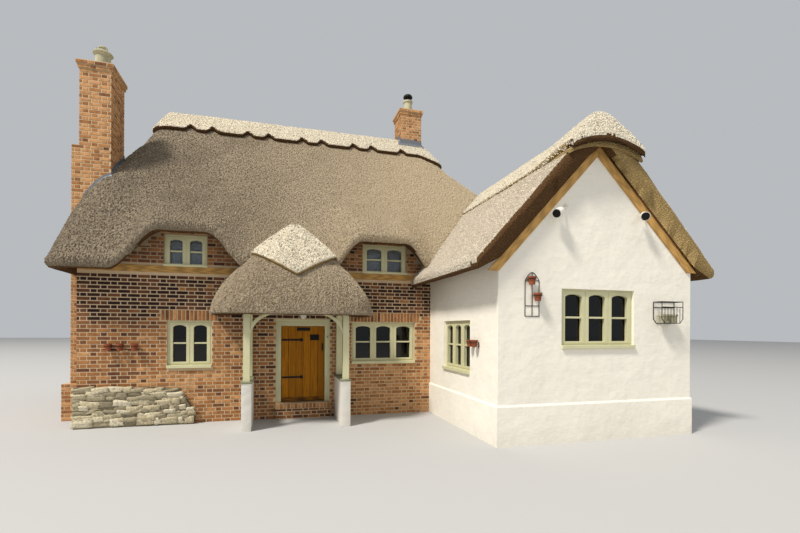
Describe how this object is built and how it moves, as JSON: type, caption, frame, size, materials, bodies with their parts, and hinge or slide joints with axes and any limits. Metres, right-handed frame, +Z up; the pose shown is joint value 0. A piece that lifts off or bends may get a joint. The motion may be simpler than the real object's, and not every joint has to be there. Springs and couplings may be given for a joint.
{
  "type": "thatched cottage",
  "caption": "Thatched brick cottage with eyebrow dormers, a rendered gabled cross wing, a thatched porch on posts, brick chimneys and a front door that opens inward.",
  "frame": {"origin": "underside of the ground floor, under the middle of the main range, level with the foot of the walls", "axes": "+Z up, +X to the right seen from the front, +Y into the house; the front faces -Y"},
  "size_m": [12.699, 10.504, 9.3906],
  "materials": {
    "brick": "rough",
    "render": "matt limewash",
    "rubble": "rough",
    "thatch": "straw",
    "ridge_thatch": "straw",
    "oak": "satin",
    "chimney_brick": "rough",
    "clay": "matt",
    "iron": "satin black",
    "painted_timber": "eggshell paint",
    "white_masonry": "matt paint",
    "door_oak": "satin varnish",
    "glass": "clear",
    "floor": "matt",
    "boards": "satin"
  },
  "bodies": {
    "cottage": {"front_wall_left": "brick", "front_wall_right": "brick", "front_wall_over_door": "brick", "left_wall_front": "brick", "left_wall_rear": "brick", "back_wall": "brick", "right_wall": "brick", "wing_left_wall": "render", "wing_gable_wall": "render", "wing_right_wall": "render", "rubble_footing": "rubble", "ground_floor": "floor", "upper_floor": "boards", "main_thatch": "thatch", "main_ridge_cap": "ridge_thatch", "wing_thatch": "thatch", "wing_ridge_cap": "ridge_thatch", "porch_thatch": "thatch", "porch_ridge_cap": "ridge_thatch", "bargeboard_left": "oak", "bargeboard_right": "oak", "left_chimney": "chimney_brick", "left_chimney_pot": "clay", "right_chimney": "chimney_brick", "right_chimney_pot": "clay", "right_chimney_cowl": "iron", "porch_frame": "painted_timber", "porch_plinth_left": "white_masonry", "porch_plinth_right": "white_masonry", "door_frame": "painted_timber", "door_step": "brick", "window_ground_left": "painted_timber", "glass_ground_left": "glass", "window_ground_right": "painted_timber", "glass_ground_right": "glass", "window_upper_left": "painted_timber", "glass_upper_left": "glass", "window_upper_right": "painted_timber", "glass_upper_right": "glass", "window_wing_left": "painted_timber", "glass_wing_left": "glass", "window_gable": "painted_timber", "glass_gable": "glass", "window_wing_right": "painted_timber", "glass_wing_right": "glass", "window_back_ground_left": "painted_timber", "glass_back_ground_left": "glass", "window_back_ground_right": "painted_timber", "glass_back_ground_right": "glass", "window_back_upper_left": "painted_timber", "glass_back_upper_left": "glass", "window_back_upper_right": "painted_timber", "glass_back_upper_right": "glass"},
    "door": {"front_door": "door_oak", "door_strap_lower": "iron", "door_strap_upper": "iron", "door_latch": "iron"}
  },
  "joints": [
    {"name": "front_door_hinge", "type": "hinge", "parent": "cottage", "child": "door", "pos_m": [-1.8525, -2.9517, 0.356], "axis": [0, 0, 1], "range_deg": [0, 90]}
  ]
}
